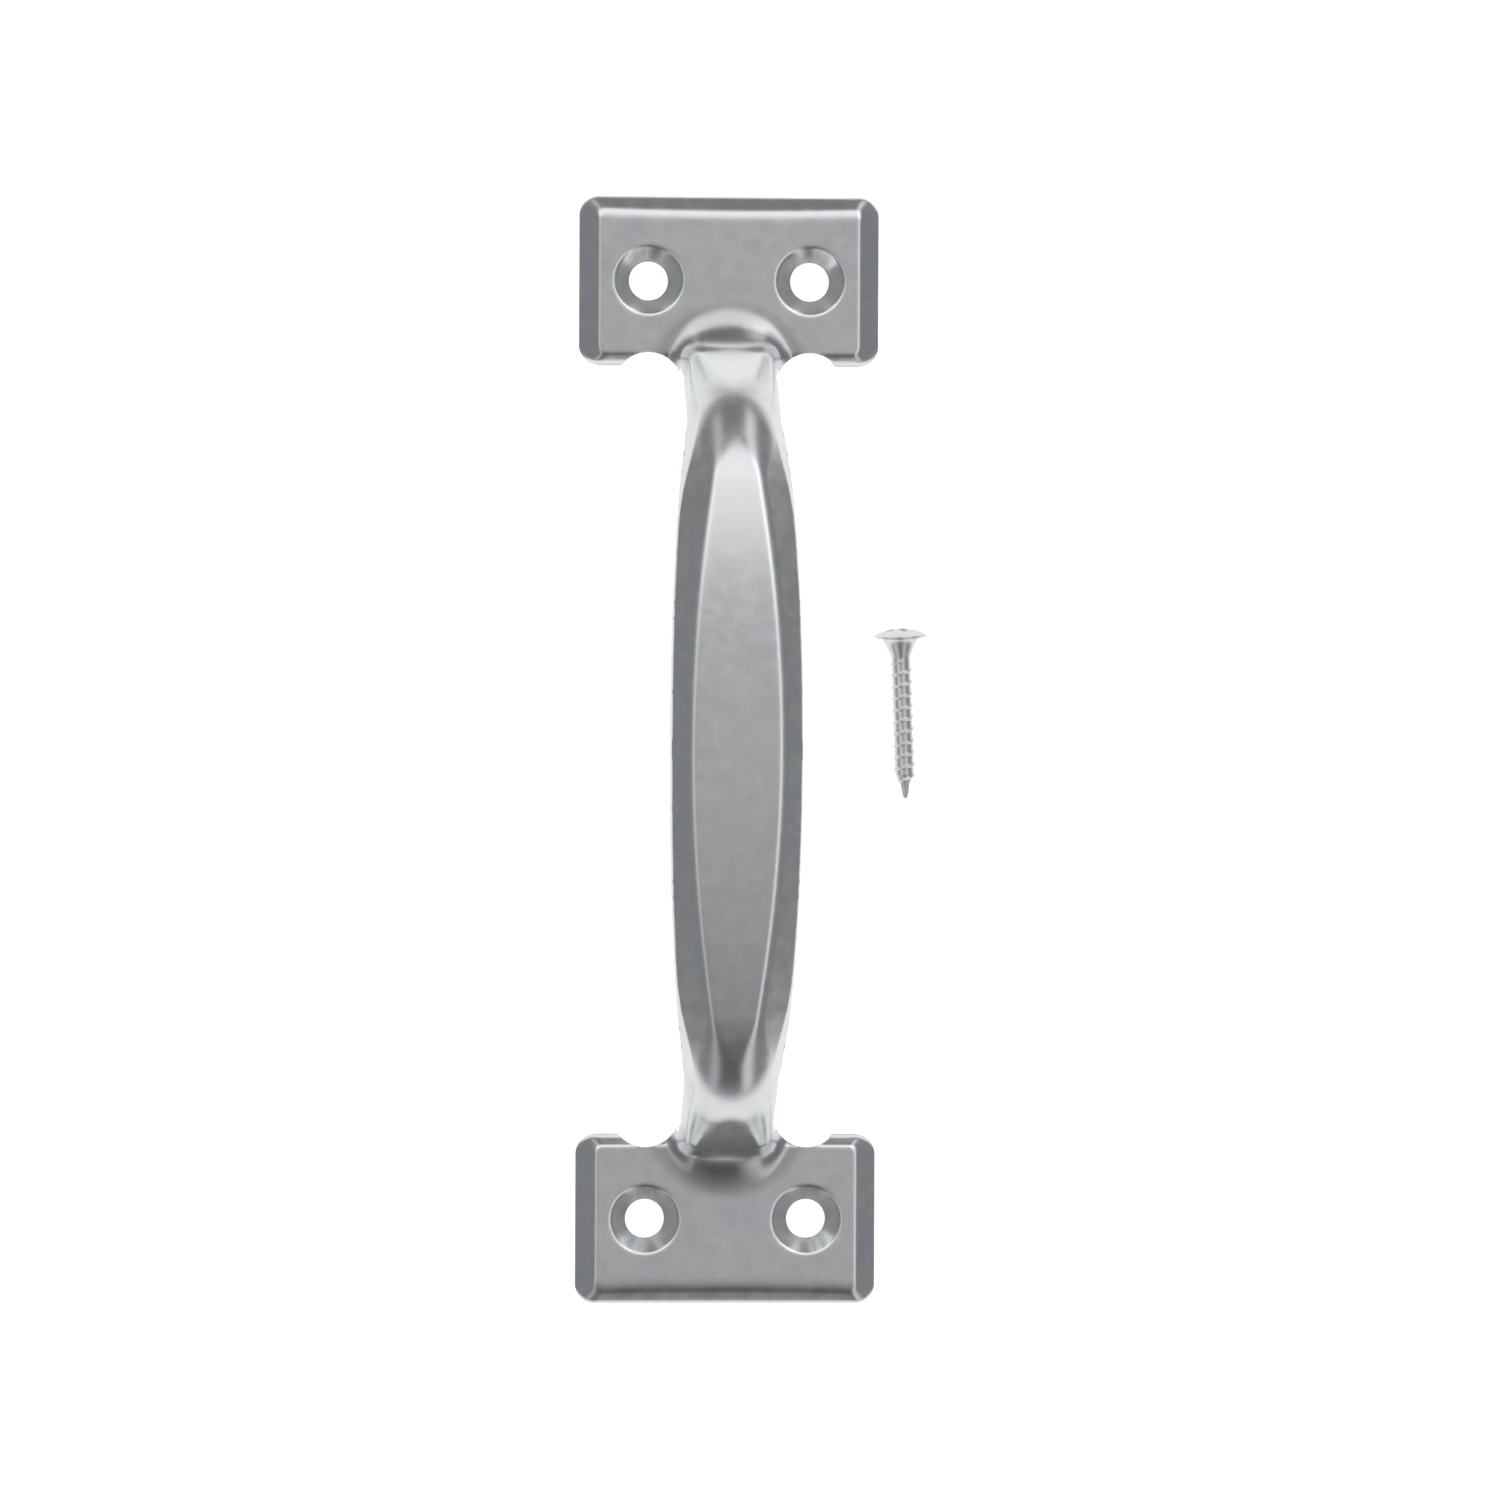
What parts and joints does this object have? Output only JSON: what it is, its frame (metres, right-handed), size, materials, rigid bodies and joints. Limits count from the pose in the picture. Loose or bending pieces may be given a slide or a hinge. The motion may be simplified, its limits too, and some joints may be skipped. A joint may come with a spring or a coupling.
{
  "type": "sash lift handle",
  "caption": "Bowed sheet-steel sash lift with a boat-shaped grip between two raised rectangular feet, dimpled screw holes, and its loose countersunk wood screws.",
  "frame": {"origin": "on the sash's face, in the middle of the flat rim at the lower end of the lower foot", "axes": "+Z straight out of the sash towards the hand, +Y up the length of the handle, +X to the right as seen from the front"},
  "size_m": [0.0519, 0.1652, 0.032],
  "materials": {
    "handle_zinc": "bright zinc plate over pressed mild steel, satin",
    "screw_zinc": "bright zinc plate, glossier than the handle"
  },
  "bodies": {
    "handle": {"pull_handle": "handle_zinc"},
    "screw_1": {"fixing_screw_1": "screw_zinc"},
    "screw_2": {"fixing_screw_2": "screw_zinc"},
    "screw_3": {"fixing_screw_3": "screw_zinc"},
    "screw_4": {"fixing_screw_4": "screw_zinc"}
  },
  "joints": [
    {"name": "screw_1_lift_off", "type": "slide", "parent": "handle", "child": "screw_1", "axis": [1, 0, 0], "range_m": [0, 0.03]},
    {"name": "screw_2_lift_off", "type": "slide", "parent": "handle", "child": "screw_2", "axis": [-1, 0, 0], "range_m": [0, 0.03]},
    {"name": "screw_3_lift_off", "type": "slide", "parent": "handle", "child": "screw_3", "axis": [-1, 0, 0], "range_m": [0, 0.03]},
    {"name": "screw_4_lift_off", "type": "slide", "parent": "handle", "child": "screw_4", "axis": [-1, 0, 0], "range_m": [0, 0.03]}
  ]
}
